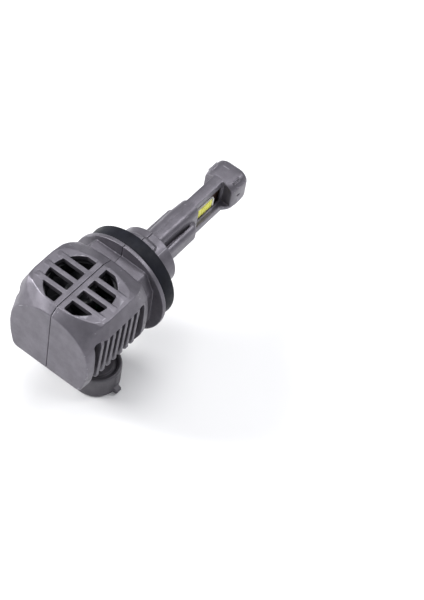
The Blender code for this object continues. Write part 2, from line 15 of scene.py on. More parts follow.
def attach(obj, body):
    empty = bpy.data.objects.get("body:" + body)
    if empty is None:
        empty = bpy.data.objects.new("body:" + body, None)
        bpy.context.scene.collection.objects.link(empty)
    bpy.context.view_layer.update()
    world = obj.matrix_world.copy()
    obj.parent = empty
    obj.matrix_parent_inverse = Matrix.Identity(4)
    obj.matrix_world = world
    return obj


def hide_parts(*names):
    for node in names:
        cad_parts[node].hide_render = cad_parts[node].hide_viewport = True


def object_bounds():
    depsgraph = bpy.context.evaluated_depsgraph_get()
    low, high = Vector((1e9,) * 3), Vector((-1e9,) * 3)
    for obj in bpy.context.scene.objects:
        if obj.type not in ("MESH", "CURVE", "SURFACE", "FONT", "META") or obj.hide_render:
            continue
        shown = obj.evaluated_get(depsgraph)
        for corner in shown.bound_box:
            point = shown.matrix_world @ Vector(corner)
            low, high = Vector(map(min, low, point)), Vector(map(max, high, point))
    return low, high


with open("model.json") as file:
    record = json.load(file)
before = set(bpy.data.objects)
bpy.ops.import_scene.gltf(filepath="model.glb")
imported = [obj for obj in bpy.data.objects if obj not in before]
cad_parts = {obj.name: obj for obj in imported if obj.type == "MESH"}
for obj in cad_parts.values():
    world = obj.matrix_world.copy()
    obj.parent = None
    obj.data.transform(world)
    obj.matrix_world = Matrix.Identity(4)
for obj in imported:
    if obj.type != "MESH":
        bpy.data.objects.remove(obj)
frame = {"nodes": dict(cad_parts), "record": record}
cad_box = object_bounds()

MM = 0.001
VOXEL = 0.12      # grain of the remeshed castings
FINE_VOXEL = 0.11
SHELL_FACES = 185000
ROTOR_FACES, PLUG_FACES = 60000, 70000
SEAM = 0.07                          # half gap between the two shells
TRIM = 0.012                         # the castings are trimmed this far off the seam plane
INNER = -1.5                         # shells run past the seam before it is cut
HEAD_X0, HEAD_X1, HEAD_BOTTOM = -31.3, -5.4, -9.9
GRILLE_Z, GRILLE_T, FAN_X = 16.1, 1.5, -19.0
GRILLE_R, GRILLE_CLIP, RIB_LIFT = 10.2, 9.0, 0.17
COWL_TOP, COWL_SIDE = 15.8, 15.2
CHAMFER_Z, CHAMFER_RUN, CHAMFER_RISE = 11.2, 2.0, 4.6
END_SIDE, END_CORNER = 14.1, 18
END_CROWN = 233.1                    # the crown's radius squared less 1; its centre is at Z -1
RIB_HALF, BAR_W, BAR_X = 1.74, 1.55, (-23.6, -19.0, -14.3)
BAY_X0, BAY_X1, BAY_TOP = -28.8, -8.2, 11.2
FIN_N, FIN_X, FIN_PITCH, FIN_T = 7, -26.3, 2.57, 1.1
DUCT_R, DUCT_Z0, CORE_Y, CORE_X0 = 10.6, 4.2, 6.6, -21.6
NECK_X1, FLANGE_R, FLANGE_X1 = -0.8, 16.28, 0.6
KEY_R, KEY_X1, TAB_X0, TAB_X1 = 9.55, 13.6, 7.6, 9.3
STEM_X1, STEM_X2, TIP_X0, TIP_X1, TIP_END = 28.4, 31.2, 43.2, 46.0, 53.38
TIP_Y, TIP_Z, TIP_R = 5.48, 5.88, 3.1
SHOULDER_Y, SHOULDER_Z = 2.38, 2.78  # centre of the tip's corner radius
BOARD_T, BOARD_X0, BOARD_X1, GAP = 0.7, -5.6, 50.2, 0.3
WIN_X0, WIN_X1, WIN_Y, WIN_Z = 31.7, 45.5, 1.7, 2.4
LED_X0, LED_X1, LED_HALF, LED_COUNT = 33.2, 40.9, 1.45, 6
PLUG_X, PLUG_S, PLUG_R = -14.55, 5.6, 7.3
PLUG_TOP, PLUG_MOUTH, PLUG_FLOOR, PLUG_WALL = -18.5, -26.2, -20.8, 1.1
SCREW_X, SCREW_Z, SCREW_HEAD_R, SCREW_R = -3.3, 9.1, 2.1, 1.4
BLADES, VANE_R0, VANE_SPAN, VANE_TOP, VANE_DROP = 7, 4.5, 4.55, 12.45, 5.5

# floor and camera, in metres, with the lens in its own millimetres
FLOOR_HALF, FLOOR_GAP = 3, 0.0002
LENS = 174.45
VIEW_FROM = (-0.29967, -0.19563, 0.45946)
VIEW_RIGHT, VIEW_BACK = (0.608, -0.785, 0.119), (-0.537, -0.296, 0.790)


# ---- solids, in mm --------------------------------------------------------
def loft(sections):
    bm = bmesh.new()
    rings = [[bm.verts.new(p) for p in ring] for ring in sections]
    count = len(rings[0])
    for a, b in zip(rings, rings[1:]):
        for i in range(count):
            j = (i + 1) % count
            bm.faces.new((a[i], a[j], b[j], b[i]))
    bm.faces.new(list(reversed(rings[0])))
    bm.faces.new(rings[-1])
    bmesh.ops.recalc_face_normals(bm, faces=bm.faces)
    bmesh.ops.triangulate(bm, faces=bm.faces)
    return bm


def prism(points, axis, low, high):
    def place(p, t):
        if axis == "X":
            return (t, p[0], p[1])
        if axis == "Y":
            return (p[0], t, p[1])
        return (p[0], p[1], t)
    return loft([[place(p, low) for p in points], [place(p, high) for p in points]])


def box(x0, x1, y0, y1, z0, z1):
    return prism([(y0, z0), (y1, z0), (y1, z1), (y0, z1)], "X", x0, x1)


def arc(cx, cy, r, a0, a1, steps):
    out = []
    for i in range(steps + 1):
        a = math.radians(a0 + (a1 - a0) * i / steps)
        out.append((cx + r * math.cos(a), cy + r * math.sin(a)))
    return out


def circle(cx, cy, r, steps):
    return arc(cx, cy, r, 0, 360, steps)[:-1]


def rounded(w, h, r, steps=6):
    out = arc(w - r, h - r, r, 0, 90, steps)
    out += arc(r - w, h - r, r, 90, 180, steps)
    out += arc(r - w, r - h, r, 180, 270, steps)
    out += arc(w - r, r - h, r, 270, 360, steps)
    return out


def obround(cx, half, r, steps=28):
    return arc(cx, half, r, 0, 180, steps) + arc(cx, -half, r, 180, 360, steps)


def turned(profile, steps=96):
    """Spin (x, r) points about the X axis; r = 0 closes on the axis."""
    bm = bmesh.new()
    poles = [bm.verts.new((x, 0, 0)) if r == 0 else None for x, r in profile]
    rings = []
    for i in range(steps):
        a = 2 * math.pi * i / steps
        rings.append([pole or bm.verts.new((x, r * math.cos(a), r * math.sin(a)))
                      for (x, r), pole in zip(profile, poles)])
    n = len(profile)
    for i in range(steps):
        a, b = rings[i], rings[(i + 1) % steps]
        for j in range(n):
            k = (j + 1) % n
            corners = []
            for v in (a[j], a[k], b[k], b[j]):
                if v not in corners:
                    corners.append(v)
            if len(corners) > 2:
                bm.faces.new(corners)
    bmesh.ops.recalc_face_normals(bm, faces=bm.faces)
    return bm


def moved(bm, matrix):
    bmesh.ops.transform(bm, matrix=matrix, verts=bm.verts)
    return bm


def stand_up(bm, x, y):
    return moved(bm, Matrix.Translation((x, y, 0)) @ Matrix.Rotation(math.radians(-90), 4, "Y"))


def lay_across(bm, x, z):
    return moved(bm, Matrix.Translation((x, 0, z)) @ Matrix.Rotation(math.radians(90), 4, "Z"))


def rod(x0, x1, r, steps=48):
    return prism(circle(0, 0, r, steps), "X", x0, x1)


def join(parts):
    whole = bmesh.new()
    for bm in parts:
        mesh = bpy.data.meshes.new("scratch")
        bm.to_mesh(mesh)
        bm.free()
        whole.from_mesh(mesh)
        bpy.data.meshes.remove(mesh)
    return whole


def temporary(source):
    """An object from a bmesh or mesh, in mm, for modifiers to work on."""
    if isinstance(source, bmesh.types.BMesh):
        mesh = bpy.data.meshes.new("work")
        source.to_mesh(mesh)
        source.free()
    else:
        mesh = source
    ob = bpy.data.objects.new("work", mesh)
    bpy.context.scene.collection.objects.link(ob)
    return ob


def evaluated(ob, spare=()):
    """The mesh of ob after its modifiers; ob and the spare objects go away."""
    graph = bpy.context.evaluated_depsgraph_get()
    mesh = bpy.data.meshes.new_from_object(ob.evaluated_get(graph))
    for used in (ob, *spare):
        data = used.data
        bpy.data.objects.remove(used)
        if data.users == 0:
            bpy.data.meshes.remove(data)
    return mesh


def carve(base, *steps):
    """Boolean steps on a solid: ("+", bm) joins and ("-", bm) cuts."""
    ob = temporary(base)
    tools = []
    for sign, bm in steps:
        tool = temporary(bm)
        tools.append(tool)
        mod = ob.modifiers.new("bool", "BOOLEAN")
        mod.operation = "UNION" if sign == "+" else "DIFFERENCE"
        mod.solver = "EXACT"
        mod.object = tool
    return evaluated(ob, tools)


def at_seam(mesh):
    """Trim a cast shell flat just off the seam plane and close it again."""
    bm = bmesh.new()
    bm.from_mesh(mesh)
    everything = list(bm.verts) + list(bm.edges) + list(bm.faces)
    made = bmesh.ops.bisect_plane(
        bm, geom=everything, dist=1e-5, plane_co=(0, TRIM, 0), plane_no=(0, -1, 0), clear_outer=True)
    rim = [e for e in made["geom_cut"] if isinstance(e, bmesh.types.BMEdge)]
    for edge in rim:
        edge.smooth = False
    bmesh.ops.triangle_fill(bm, use_beauty=False, use_dissolve=False, edges=rim, normal=(0, -1, 0))
    bm.to_mesh(mesh)
    bm.free()
    return mesh


def cast(mesh, faces, voxel=VOXEL, rounds=3, seam=False):
    """Remesh a solid so that its edges get the small radii of a moulding."""
    ob = temporary(mesh)
    remesh = ob.modifiers.new("remesh", "REMESH")
    remesh.mode = "VOXEL"
    remesh.voxel_size = voxel
    soften = ob.modifiers.new("soften", "SMOOTH")
    soften.factor = 0.5
    soften.iterations = rounds
    mesh = evaluated(ob)
    count = len(mesh.polygons) * 2
    ob = temporary(mesh)
    if count > faces:
        thin = ob.modifiers.new("thin", "DECIMATE")
        thin.ratio = faces / count
    if seam:
        ob = temporary(at_seam(evaluated(ob)))
    normals = ob.modifiers.new("normals", "WEIGHTED_NORMAL")
    normals.weight = 50
    normals.keep_sharp = True
    for polygon in ob.data.polygons:
        polygon.use_smooth = True
    return evaluated(ob)


def piece(name, source, slot, nodes, body="bulb_body", angle=None):
    """Place a finished shape in the model's frame and tie it to its body."""
    if isinstance(source, bmesh.types.BMesh):
        mesh = bpy.data.meshes.new(name)
        source.to_mesh(mesh)
        source.free()
    else:
        mesh = source
        mesh.name = name
    mesh.transform(Matrix.Scale(MM, 4))
    mesh.materials.clear()
    mesh.materials.append(LOOK[slot])
    if angle is not None:
        mesh.shade_smooth()
        mesh.set_sharp_from_angle(angle=math.radians(angle))
    ob = bpy.data.objects.new(name, mesh)
    bpy.context.scene.collection.objects.link(ob)
    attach(ob, body)
    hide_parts(*nodes)
    return ob


def flipped(bm):
    """Move a solid to the other side of the seam plane."""
    moved(bm, Matrix.Scale(-1, 4, (0, 1, 0)))
    bmesh.ops.reverse_faces(bm, faces=bm.faces)
    return bm


def mirrored(mesh):
    """A copy of the mesh on the other side of the seam plane."""
    bm = bmesh.new()
    bm.from_mesh(mesh)
    return flipped(bm)


def eased(rows, parts):
    """Rows of numbers with smooth steps between them (Catmull-Rom)."""
    out = []
    for i in range(len(rows) - 1):
        p0, p1, p2, p3 = (rows[min(max(i + k, 0), len(rows) - 1)] for k in (-1, 0, 1, 2))
        for s in range(parts):
            t = s / parts
            out.append(tuple(
                0.5 * (2 * b + (c - a) * t + (2 * a - 5 * b + 4 * c - d) * t * t
                       + (3 * b - a - 3 * c + d) * t ** 3)
                for a, b, c, d in zip(p0, p1, p2, p3)))
    out.append(rows[-1])
    return out


# ---- materials --------------------------------------------------------------
class Surface:
    """A Principled material with noise-driven colour, roughness and grain."""

    def __init__(self, name, rough=0.5, metal=0.0, coat=0.0, specular=0.5):
        self.mat = bpy.data.materials.new(name)
        self.mat.use_nodes = True
        self.tree = self.mat.node_tree
        self.shader = self.tree.nodes["Principled BSDF"]
        self.shader.inputs["Roughness"].default_value = rough
        self.shader.inputs["Metallic"].default_value = metal
        self.shader.inputs["Coat Weight"].default_value = coat
        self.shader.inputs["Specular IOR Level"].default_value = specular
        self.place = self.node("ShaderNodeTexCoord").outputs["Object"]
        self.normal = None

    def node(self, kind, **settings):
        node = self.tree.nodes.new(kind)
        for key, value in settings.items():
            setattr(node, key, value)
        return node

    def link(self, a, b):
        self.tree.links.new(a, b)

    def noise(self, size_mm, detail=3.0, roughness=0.55, stretch=None):
        where = self.place
        if stretch:
            mapping = self.node("ShaderNodeMapping")
            mapping.inputs["Scale"].default_value = stretch
            self.link(where, mapping.inputs["Vector"])
            where = mapping.outputs["Vector"]
        noise = self.node("ShaderNodeTexNoise")
        noise.inputs["Scale"].default_value = 1 / (size_mm * MM)
        noise.inputs["Detail"].default_value = detail
        noise.inputs["Roughness"].default_value = roughness
        self.link(where, noise.inputs["Vector"])
        return noise.outputs["Fac"]

    def ranged(self, value, low, high, new_low, new_high):
        node = self.node("ShaderNodeMapRange")
        limits = {"From Min": low, "From Max": high, "To Min": new_low, "To Max": new_high}
        for key, number in limits.items():
            node.inputs[key].default_value = number
        self.link(value, node.inputs["Value"])
        return node.outputs["Result"]

    def mix(self, factor, a, b):
        node = self.node("ShaderNodeMix", data_type="RGBA")
        self.link(factor, node.inputs[0])
        for value, socket in ((a, node.inputs[6]), (b, node.inputs[7])):
            if isinstance(value, tuple):
                socket.default_value = (*value, 1)
            else:
                self.link(value, socket)
        return node.outputs[2]

    def colour(self, a, b, size_mm, low=0.35, high=0.65, **more):
        mixed = self.mix(self.ranged(self.noise(size_mm, **more), low, high, 0, 1), a, b)
        self.link(mixed, self.shader.inputs["Base Color"])
        return mixed

    def roughness(self, low, high, size_mm, **more):
        value = self.ranged(self.noise(size_mm, **more), 0.3, 0.7, low, high)
        self.link(value, self.shader.inputs["Roughness"])

    def grain(self, size_mm, height_mm, strength=0.5, **more):
        bump = self.node("ShaderNodeBump")
        bump.inputs["Strength"].default_value = strength
        bump.inputs["Distance"].default_value = height_mm * MM
        self.link(self.noise(size_mm, **more), bump.inputs["Height"])
        if self.normal:
            self.link(self.normal, bump.inputs["Normal"])
        self.normal = bump.outputs["Normal"]
        self.link(self.normal, self.shader.inputs["Normal"])


def edge_highlight_and_crevice_shade(surface, base, edge, crevice_shade):
    """Painted highlight on sharp edges and painted shade in grooves, from the mesh's curvature."""
    point = surface.node("ShaderNodeNewGeometry").outputs["Pointiness"]
    high = surface.ranged(point, 0.53, 0.66, 0, 1)
    low = surface.ranged(point, 0.48, 0.42, 0, 1)
    mixed = surface.mix(high, base, edge)
    surface.link(surface.mix(low, mixed, crevice_shade), surface.shader.inputs["Base Color"])


def make_materials():
    out = {}
    s = Surface("cast_metal", 0.38, 0.66)
    base = s.colour((0.118, 0.111, 0.129), (0.152, 0.143, 0.165), 4.0, detail=4.0)
    # painted edge highlights and painted shade in the grooves of the cast metal
    edge_highlight_and_crevice_shade(s, base, (0.27, 0.26, 0.29), (0.02, 0.019, 0.023))
    s.roughness(0.34, 0.46, 1.2)
    s.grain(0.8, 0.025, 0.35)
    s.grain(0.20, 0.025, 0.8, detail=2.0)
    out["die_cast"] = s.mat

    s = Surface("plug_shell", 0.45, 0.35)
    s.colour((0.072, 0.068, 0.078), (0.094, 0.089, 0.101), 3.0)
    s.roughness(0.40, 0.52, 0.8)
    s.grain(0.25, 0.015, 0.4)
    out["plug_shell"] = s.mat

    s = Surface("seal_rubber", 0.5, 0.0, specular=0.15)
    s.colour((0.0045, 0.0050, 0.0085), (0.0080, 0.0088, 0.0140), 2.5)
    s.roughness(0.46, 0.62, 1.5)
    s.grain(0.35, 0.02, 0.35)
    out["rubber"] = s.mat

    s = Surface("fan_plastic", 0.45)
    s.colour((0.006, 0.006, 0.008), (0.012, 0.012, 0.015), 2.0)
    s.roughness(0.38, 0.52, 0.9)
    s.grain(0.2, 0.01, 0.4)
    out["black_plastic"] = s.mat

    s = Surface("white_ceramic", 0.4)
    s.colour((0.74, 0.74, 0.71), (0.84, 0.84, 0.82), 1.0)
    s.roughness(0.34, 0.48, 0.5)
    s.grain(0.12, 0.006, 0.4)
    out["white_carrier"] = s.mat

    s = Surface("phosphor_coat", 0.38, coat=0.3)
    s.colour((0.72, 0.70, 0.05), (0.84, 0.82, 0.13), 0.35)
    s.roughness(0.30, 0.45, 0.4)
    s.grain(0.10, 0.012, 0.6)
    out["phosphor"] = s.mat

    s = Surface("copper_core", 0.35, 1.0)
    s.colour((0.075, 0.040, 0.028), (0.125, 0.070, 0.050), 1.5)
    s.roughness(0.34, 0.50, 0.6, stretch=(0.1, 1, 1))
    s.grain(0.15, 0.008, 0.4, stretch=(0.1, 1, 1))
    out["copper_board"] = s.mat

    metals = {
        "steel": ((0.46, 0.46, 0.47), (0.58, 0.58, 0.59), 0.26, 0.40),
        "bronze": ((0.46, 0.34, 0.17), (0.58, 0.45, 0.25), 0.36, 0.50),
        "lamination": ((0.28, 0.28, 0.29), (0.40, 0.40, 0.41), 0.36, 0.50),
        "can_aluminium": ((0.62, 0.62, 0.64), (0.74, 0.74, 0.76), 0.24, 0.36),
        "tin_plate": ((0.64, 0.62, 0.58), (0.76, 0.74, 0.70), 0.26, 0.40),
    }
    for name, (dark, light, smooth, dull) in metals.items():
        s = Surface(name + "_finish", smooth, 1.0)
        s.colour(dark, light, 0.8)
        s.roughness(smooth, dull, 0.5)
        s.grain(0.15, 0.008, 0.4)
        out[name] = s.mat
    plastics = {
        "copper_wire": ((0.50, 0.20, 0.09), (0.64, 0.29, 0.14), 0.30, 0.42),
        "magnet": ((0.045, 0.042, 0.04), (0.075, 0.07, 0.066), 0.5, 0.68),
        "circuit_green": ((0.012, 0.12, 0.05), (0.02, 0.17, 0.075), 0.30, 0.45),
        "chip_black": ((0.012, 0.012, 0.014), (0.022, 0.022, 0.025), 0.45, 0.6),
        "lead_red": ((0.42, 0.02, 0.02), (0.52, 0.035, 0.03), 0.36, 0.5),
    }
    for name, (dark, light, smooth, dull) in plastics.items():
        s = Surface(name + "_finish", smooth, 1.0 if name == "copper_wire" else 0.0)
        s.colour(dark, light, 0.9)
        s.roughness(smooth, dull, 0.6)
        s.grain(0.14, 0.008, 0.4)
        out[name] = s.mat
    return out


# ---- head ---------------------------------------------------------------------
HEAD_ANGLES = [90 - 2.5 * i for i in range(16)] + [50.1, 47, 43, 39.5, 36.4] + [32 - 4 * i for i in range(9)]


def ray_end(deg):
    """Distance from the axis to the rounded outline of the end face."""
    a = math.radians(deg)
    crown = -math.sin(a) + math.sqrt(math.sin(a) ** 2 + END_CROWN)
    side = END_SIDE / max(math.cos(a), 1e-6)
    return (crown ** -END_CORNER + side ** -END_CORNER) ** (-1 / END_CORNER)


def ray_square(deg):
    """Distance from the axis to the square cowl outline."""
    a = math.radians(deg)
    top = COWL_TOP / max(math.sin(a), 1e-6)
    side = COWL_SIDE / max(math.cos(a), 1e-6)
    reach = COWL_SIDE * CHAMFER_RISE + CHAMFER_Z * CHAMFER_RUN
    slant = reach / (CHAMFER_RISE * math.cos(a) + CHAMFER_RUN * math.sin(a))
    return min(top, side, slant)


def head_section(x, blend, inset):
    """Half outline at x, from the end face's shape (blend 0) to the cowl's (1)."""
    waist_z, waist_drop, foot_y, corner_r = -4.0, 3.4, 12.4, 2.0
    blend = min(max(blend, 0.0), 1.0)
    pts = []
    for deg in HEAD_ANGLES:
        a = math.radians(deg)
        r = (1 - blend) * ray_end(deg) + blend * ray_square(deg) - inset
        pts.append((x, r * math.cos(a), r * math.sin(a)))
    pts.insert(0, (x, INNER, pts[0][2]))
    side_y = pts[-1][1]
    pts.append((x, side_y - 0.35, waist_z))
    pts += [(x, side_y + (foot_y - inset - side_y) * t, waist_z - waist_drop * t) for t in (0.5, 1.0)]
    pts += [(x, y - inset, z + inset) for y, z in arc(10.6, -7.9, corner_r, -5, -90, 7)]
    pts.append((x, INNER, HEAD_BOTTOM + inset))
    return pts


def head_solid():
    """Cowl and grille plateau as one skin: the plateau meets it in a crease."""
    front = [(HEAD_X0, 0.0, 0.30), (HEAD_X0 + 0.08, 0.0, 0.10), (HEAD_X0 + 0.3, 0.02, 0.0)]
    body = eased([
        (-30.5, 0.10, 0.0), (-29.4, 0.32, 0.0), (-28.0, 0.63, 0.0), (-26.4, 0.88, 0.0),
        (-24.6, 1.0, 0.0), (-21.0, 1.0, 0.0), (-16.0, 1.0, 0.0), (-12.6, 1.0, 0.0),
        (-10.6, 0.94, 0.0), (-8.6, 0.80, 0.0), (-6.9, 0.62, 0.0), (-5.9, 0.52, 0.05),
    ], 4)
    bm = bmesh.new()
    for row in front + body + [(HEAD_X1, 0.48, 0.45)]:
        for p in head_section(*row):
            bm.verts.new(p)
    for ring in plateau_rings():
        for p in ring:
            bm.verts.new(p)
    made = bmesh.ops.convex_hull(bm, input=bm.verts)
    spare = made["geom_interior"] + made["geom_unused"]
    inside = {v for v in spare if isinstance(v, bmesh.types.BMVert)}
    bmesh.ops.delete(bm, geom=list(inside), context="VERTS")
    bmesh.ops.triangulate(bm, faces=bm.faces)
    bmesh.ops.recalc_face_normals(bm, faces=bm.faces)
    return bm


def plateau_outline():
    """Half outline of the plateau: two shallow arcs with rounded corners."""
    edge_r, corner_r, reach, steps = 25.0, 2.9, 11.2, 9
    across = [reach * i / steps for i in range(steps + 1)]
    pts = [(-29.1, INNER)]
    pts += [(-4.1 - math.sqrt(edge_r ** 2 - y * y), y) for y in across]
    pts += arc(-22.6, 10.55, corner_r, 163, 92, 8)
    pts += arc(-15.2, 10.55, corner_r, 88, 17, 8)
    pts += [(-33.4 + math.sqrt(edge_r ** 2 - y * y), y) for y in reversed(across)]
    pts.append((-8.4, INNER))
    return pts


def plateau_rings():
    outline = plateau_outline()
    mid = Vector((FAN_X, 0))

    def ring(d, z):
        out = []
        for p in outline:
            v = Vector(p) - mid
            q = mid + v * (1 - d / v.length)
            out.append((q.x, p[1] if p[1] <= 0 else q.y, z))
        return out
    return [ring(0, GRILLE_Z - 0.25), ring(0.12, GRILLE_Z - 0.08), ring(0.35, GRILLE_Z)]


def grille_slots():
    edges = [FAN_X - GRILLE_CLIP]
    for x in BAR_X:
        edges += [x - BAR_W / 2, x + BAR_W / 2]
    edges.append(FAN_X + GRILLE_CLIP)
    slots = []
    for x0, x1 in zip(edges[::2], edges[1::2]):
        pts = [(x1, RIB_HALF), (x0, RIB_HALF)]
        for i in range(15):
            x = x0 + (x1 - x0) * i / 14
            pts.append((x, math.sqrt(GRILLE_R ** 2 - min(abs(x - FAN_X), GRILLE_CLIP) ** 2)))
        slots.append(prism(pts, "Z", GRILLE_Z - GRILLE_T - 0.9, GRILLE_Z + 1))
    return join(slots)


def raised_bars():
    """Bars of the grille, which run on over the plateau as low ribs."""
    bars = []
    for x in BAR_X:
        reach = 12.4 if x == BAR_X[1] else 11.9
        h = BAR_W / 2
        rows = [[(x - h, y, GRILLE_Z - 0.6), (x + h, y, GRILLE_Z - 0.6),
                 (x + h, y, GRILLE_Z + lift), (x - h, y, GRILLE_Z + lift)]
                for y, lift in ((RIB_HALF - 0.2, RIB_LIFT), (reach - 1.2, RIB_LIFT), (reach, 0.02))]
        bars.append(loft(rows))
    return join(bars)


def fin_bay():
    """The space between cowl and foot that the fins stand in."""
    corner = 2.4
    outline = arc(BAY_X1 - corner, BAY_TOP - corner, corner, 0, 90, 10)
    outline += arc(BAY_X0 + corner, BAY_TOP - corner, corner, 90, 180, 10)
    outline += [(BAY_X0, HEAD_BOTTOM - 2), (BAY_X1, HEAD_BOTTOM - 2)]
    return prism(outline, "Y", -1.0, 20.0)


def fins():
    """Cooling fins: they hang from the cowl and end in round fingers."""
    pts = [(INNER, DUCT_Z0 + 0.5), (DUCT_R - 0.3, DUCT_Z0 + 0.5), (DUCT_R - 0.3, BAY_TOP + 0.6)]
    pts += [(14.4, BAY_TOP + 0.6), (14.75, 9.5), (14.6, 6.0), (14.4, 1.5), (14.15, -4.0)]
    pts += arc(12.9, -4.8, 1.3, 22, -88, 9)
    pts += [(11.6, -6.5), (11.0, -7.0), (10.6, -8.0), (8.2, -8.0), (7.4, -6.4), (INNER, -6.4)]
    plates = []
    for i in range(FIN_N):
        x = FIN_X + i * FIN_PITCH
        plates.append(prism(pts, "X", x - FIN_T / 2, x + FIN_T / 2))
    return join(plates)


# ---- collar, neck and stalk ------------------------------------------------------
def half_disc(x0, x1, r, lip, steps=64):
    """Right half of a disc about the X axis, with a bevelled lip at x1."""
    turns = [math.pi * i / steps for i in range(steps + 1)]

    def ring(x, rad):
        pts = [(rad * math.sin(a), rad * math.cos(a)) for a in turns]
        return [(x, y, z) for y, z in [(INNER, rad)] + pts + [(INNER, -rad)]]
    return loft([ring(x0, r), ring(x1 - lip, r), ring(x1, r - lip)])


def neck(shrink, pad):
    """Outline of the neck; pad lifts the flat beside the seam."""
    lift = pad / 2
    pts = [(INNER, 12.2 + pad), (8.5 + lift, 12.0 + lift), (9.0 + lift, 11.6 + lift),
           (12.0, 6.3), (12.0, -6.3), (8.3, -12.0), (INNER, -12.0)]
    return [(y - (shrink if y > 0 else 0), z - math.copysign(shrink, z)) for y, z in pts]


def tab_solid(deg, half_w, r):
    """Bayonet tab standing out of the cylinder."""
    a = math.radians(deg)
    out, along = Vector((math.sin(a), math.cos(a))), Vector((math.cos(a), -math.sin(a)))
    lo = KEY_R - 1.5
    pts = []
    for d, w in ((lo, -half_w), (r - 0.5, -half_w), (r, -half_w + 0.5),
                 (r, half_w - 0.5), (r - 0.5, half_w), (lo, half_w)):
        p = out * d + along * w
        pts.append((p.x, p.y))
    return prism(pts, "X", TAB_X0, TAB_X1)


def front_tab():
    """Wide key tab under the grille side, with its sloped lead-in."""
    foot_z, steps = 7.4, 8
    stations = ((TAB_X0 - 0.1, 11.05, 4.25), (TAB_X1, 11.05, 4.25),
                (TAB_X1 + 0.9, 10.2, 3.9), (TAB_X1 + 1.6, 9.4, 3.6))
    rows = []
    for x, r, w in stations:
        across = [w * i / steps for i in range(steps + 1)]
        top = [(x, y, math.sqrt(max(r * r - y ** 2, 0))) for y in across]
        rows.append([(x, INNER, r), *top, (x, w, foot_z), (x, INNER, foot_z)])
    return loft(rows)


def half_ring(w, h, r, x, steps=12):
    """Right half of a rounded rectangle at x, closed on the seam plane."""
    pts = [(INNER, h)]
    turns = [math.radians(90 * i / steps) for i in range(steps + 1)]
    pts += [(w - r + r * math.sin(a), h - r + r * math.cos(a)) for a in turns]
    pts += [(w - r + r * math.cos(a), r - h - r * math.sin(a)) for a in turns]
    pts.append((INNER, -h))
    return [(x, y, z) for y, z in pts]


def rings(rows):
    return loft([half_ring(w, h, r, x) for x, w, h, r in rows])


def stalk_solid(pad):
    """Cylinder, flange, neck, spine, side boss and flared tip as one solid."""
    root = KEY_X1 - 1
    spine = rings([(root, 3.1, 7.5, 2.5), (26.0, 3.3, 7.3, 2.5),
                   (32.0, 3.1, 6.95, 2.6), (TIP_X0 + 2, 3.1, 6.85, 2.6)])
    boss = rings([(root, 5.4, 3.5, 1.9), (STEM_X1 - 0.4, 5.35, 3.35, 1.9),
                  (STEM_X1 + 0.3, 5.1, 3.25, 1.9), (STEM_X2, 2.5, 2.9, 1.5)])
    tip = rings(eased([
        (TIP_X0, 3.1, 5.2, 2.5), (TIP_X0 + 1.2, 4.3, 5.5, 2.8), (TIP_X1, 5.2, 5.8, TIP_R),
        (TIP_X1 + 2.5, TIP_Y, TIP_Z, TIP_R), (50.6, TIP_Y, TIP_Z, TIP_R),
        (TIP_END - 1.2, 5.35, 5.75, TIP_R), (TIP_END - 0.5, 5.0, 5.4, 3.0),
        (TIP_END - 0.12, 4.6, 5.0, 2.9), (TIP_END, 4.2, 4.6, 2.8),
    ], 4))
    steps = [
        ("+", front_tab()), ("+", tab_solid(110, 1.9, 12.6)),
        ("+", half_disc(NECK_X1, FLANGE_X1, FLANGE_R, 0.18)),
        ("+", prism(neck(0.0, pad), "X", HEAD_X1 + 0.32, NECK_X1 + 0.5)),
        ("+", prism(neck(0.45, pad), "X", HEAD_X1 - 1.0, HEAD_X1 + 0.6)),
        ("+", spine), ("+", boss), ("+", tip),
    ]
    # tapered groove between spine and boss, front and back
    groove = ((15.6, 3.15, 0.9), (18.8, 3.05, 0.75), (24.0, 3.2, 0.55), (27.9, 3.4, 0.15))
    for s in (1, -1):
        rows = [[(x, y - 0.1, s * 2.2), (x, y + w, s * 2.2), (x, y + w, s * 6), (x, y - 0.1, s * 6)]
                for x, y, w in groove]
        steps.append(("-", loft(rows)))
    return carve(half_disc(FLANGE_X1 - 0.5, KEY_X1, KEY_R, 0.3), *steps)


def window():
    """Side recess for the LEDs, open on the grille side, and the pit in its floor."""
    outer = 7.5
    stations = ((WIN_X0, 0.0, 9.0), (WIN_X1 - 1.4, 0.0, 9.0), (WIN_X1 - 0.75, 0.0, 5.9),
                (WIN_X1 - 0.2, 0.0, 4.6), (WIN_X1, 0.1, 3.2))
    rows = [[(x, WIN_Y + back, -WIN_Z + back), (x, outer, -WIN_Z - 0.3 + back),
             (x, outer, top), (x, WIN_Y + back, top)] for x, back, top in stations]
    pit = box(WIN_X0 + 0.4, WIN_X1 - 0.8, -2.0, WIN_Y + 0.1, -WIN_Z + 0.2, 4.2)
    return [loft(rows), pit]


def on_shoulder(bm, x, deg):
    """Lay a detail made about Z = 0 on the tip's rounded shoulder."""
    a = math.radians(deg)
    y = SHOULDER_Y + TIP_R * math.sin(a)
    z = SHOULDER_Z + TIP_R * math.cos(a)
    return moved(bm, Matrix.Translation((x, y, z)) @ Matrix.Rotation(-a, 4, "X"))


def tip_details():
    """Raised frame and rib on the tip's shoulder and a slot hole in its side."""
    slot = moved(prism(rounded(0.6, 0.38, 0.34, 5), "Y", 4.2, 7.0), Matrix.Translation((48.5, 0, 0.4)))
    return [
        ("+", on_shoulder(box(-1.35, 1.35, -0.52, 0.52, -0.7, 0.24), 48.4, 33)),
        ("-", on_shoulder(box(-1.0, 1.0, -0.2, 0.2, 0.0, 1.0), 48.4, 33)),
        ("+", on_shoulder(box(-2.0, 2.0, -0.16, 0.16, -0.7, 0.22), 49.5, 72)),
        ("-", slot),
    ]


